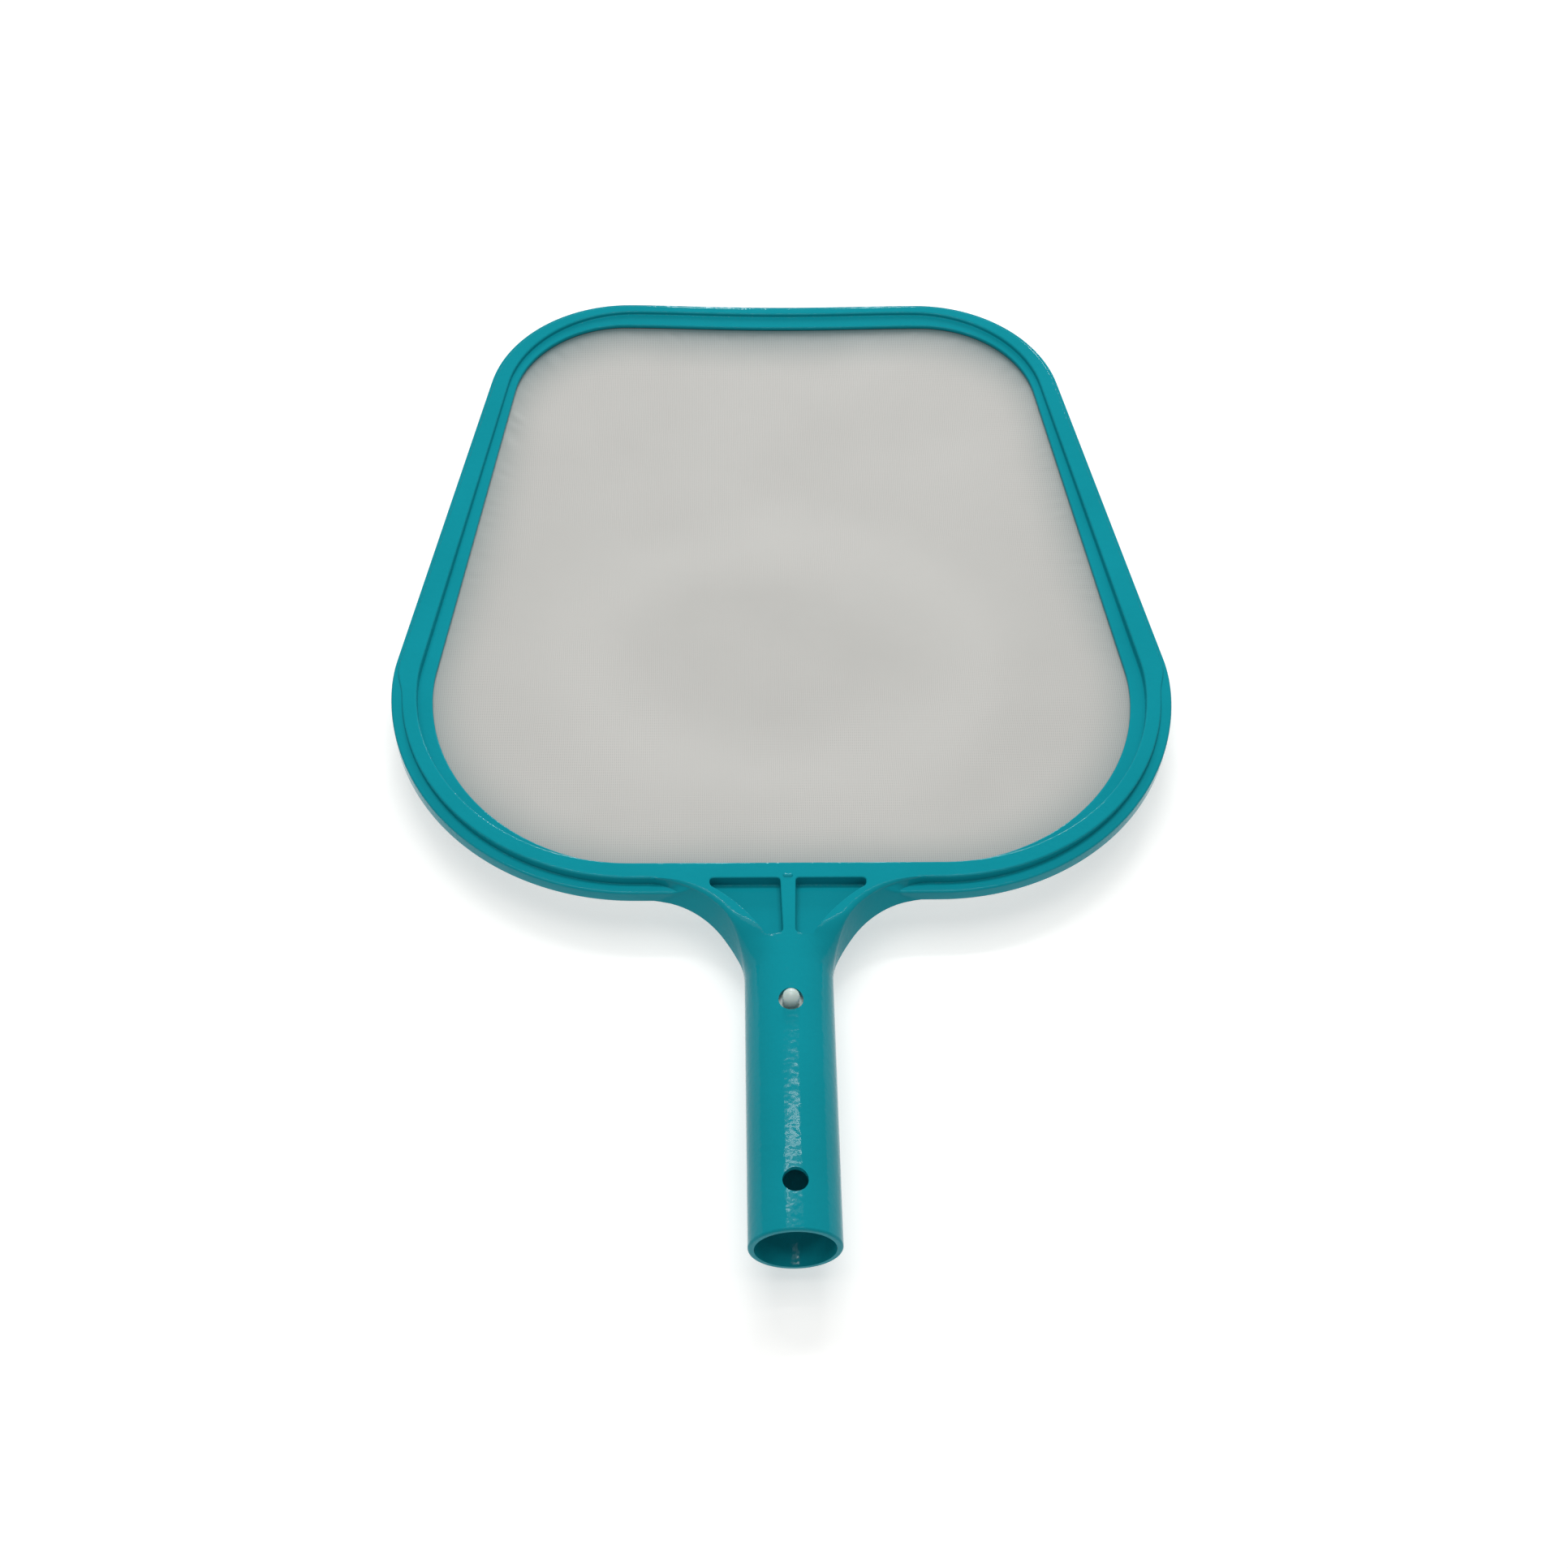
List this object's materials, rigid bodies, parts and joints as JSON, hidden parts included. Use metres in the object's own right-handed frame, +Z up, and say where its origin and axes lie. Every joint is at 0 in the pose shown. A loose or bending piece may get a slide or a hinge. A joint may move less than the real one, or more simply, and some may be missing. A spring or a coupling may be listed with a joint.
{
  "type": "leaf skimmer net",
  "caption": "Flat leaf skimmer head: moulded trapezoid hoop with a fine net, a pole socket tube and a sprung V-clip with locking pins.",
  "frame": {"origin": "centre of the handle tube's open end, on the tube's axis", "axes": "+Y along the tube towards the net, +Z up out of the net's top side, +X to the right seen from above with the net ahead"},
  "size_m": [0.2692, 0.3972, 0.036],
  "materials": {
    "teal_polypropylene": "moulded satin gloss",
    "nylon_mesh": "fine woven",
    "white_acetal": "moulded satin"
  },
  "bodies": {
    "skimmer_frame": {"frame": "teal_polypropylene", "net": "nylon_mesh", "clamp_ring": "teal_polypropylene", "clip_bend": "white_acetal"},
    "top_leg": {"clip_top_leg": "white_acetal"},
    "bottom_leg": {"clip_bottom_leg": "white_acetal"}
  },
  "joints": [
    {"name": "top_pin_press", "type": "hinge", "parent": "skimmer_frame", "child": "top_leg", "pos_m": [0, 0.04061, 0.00432], "axis": [-1, 0, 0], "range_deg": [0, 6], "stiffness_Nm_per_rad": 3, "springref_deg": -2.86},
    {"name": "bottom_pin_press", "type": "hinge", "parent": "skimmer_frame", "child": "bottom_leg", "pos_m": [0, 0.04061, -0.00432], "axis": [1, 0, 0], "range_deg": [0, 6], "stiffness_Nm_per_rad": 3, "springref_deg": -2.86}
  ]
}
